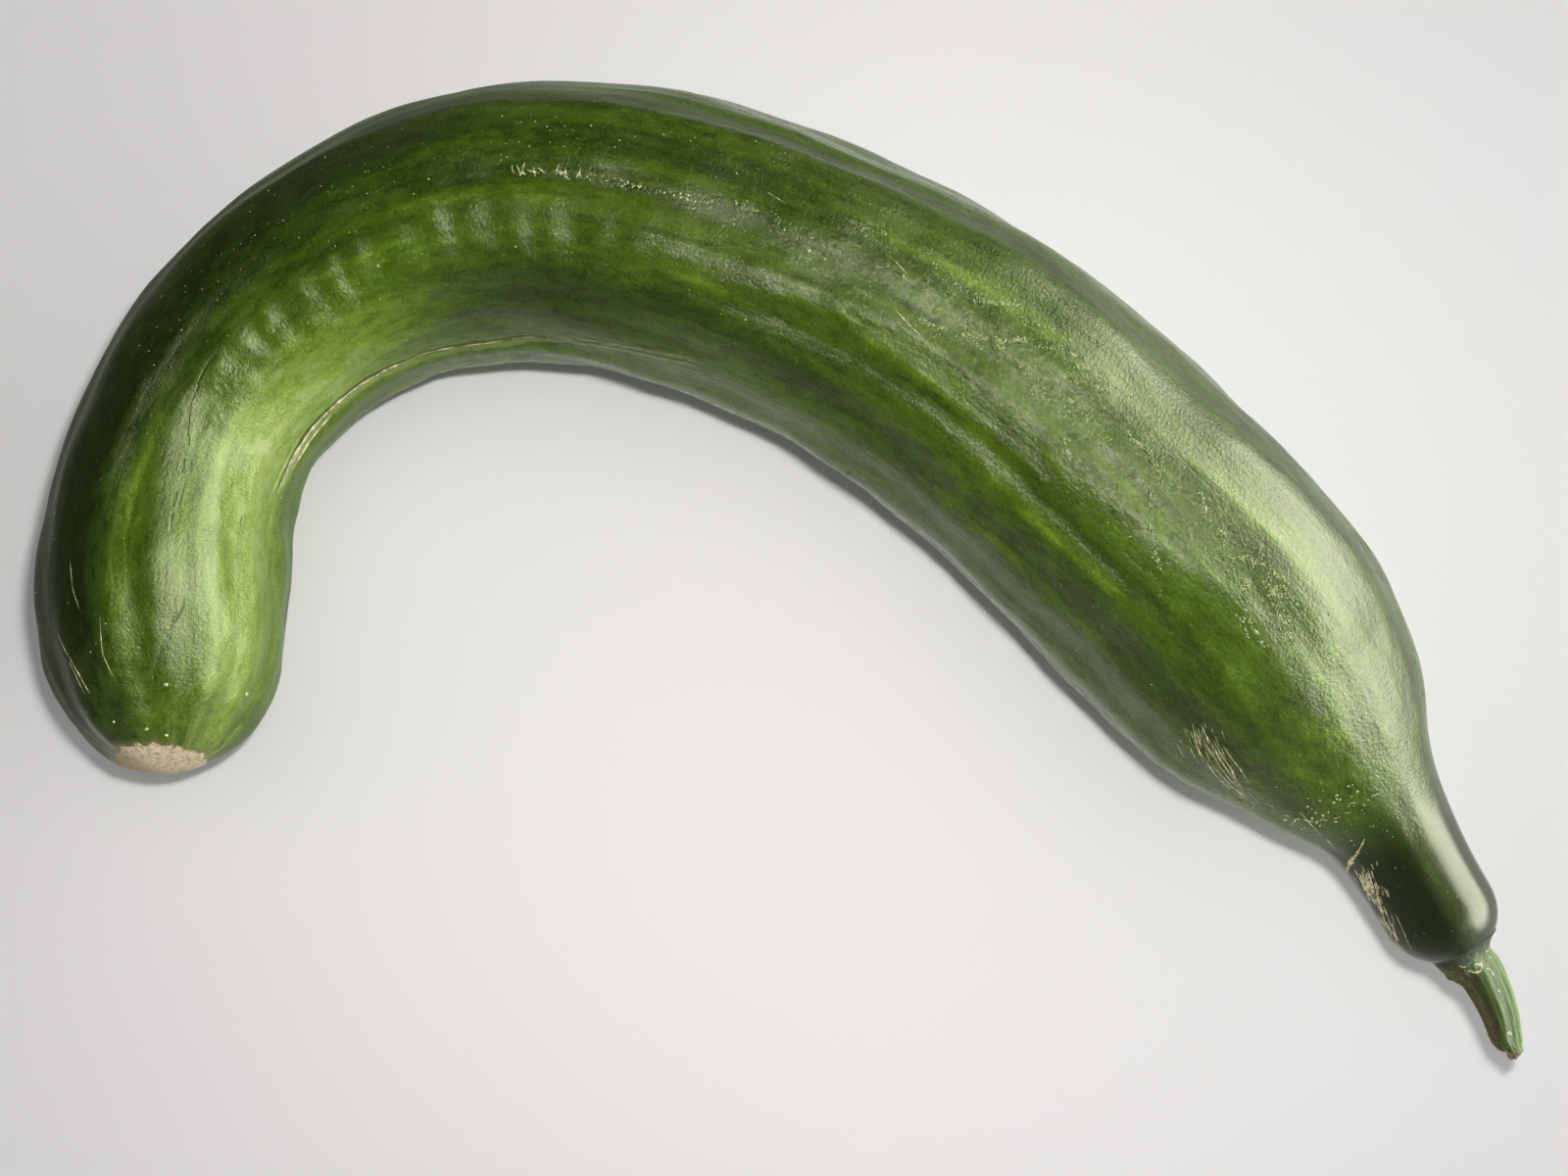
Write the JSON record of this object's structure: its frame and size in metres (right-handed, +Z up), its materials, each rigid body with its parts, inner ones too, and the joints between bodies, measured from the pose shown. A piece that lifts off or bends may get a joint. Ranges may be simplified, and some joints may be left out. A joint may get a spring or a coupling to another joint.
{
  "type": "cucumber",
  "caption": "Hooked green cucumber lying on its side, with ribbed waxy skin, a corky blossom scar and the stub of its stalk.",
  "frame": {"origin": "on the surface it lies on, under the middle of its box", "axes": "+Z up; +X from the hooked blossom end towards the stalk end, the longest way across; +Y towards the outside of the bend"},
  "size_m": [0.2603, 0.1734, 0.0563],
  "materials": {
    "waxy_skin": "waxy, semi-gloss",
    "stalk_skin": "matte, fibrous"
  },
  "bodies": {
    "root": {"fruit": "waxy_skin", "stalk": "stalk_skin"}
  },
  "joints": []
}
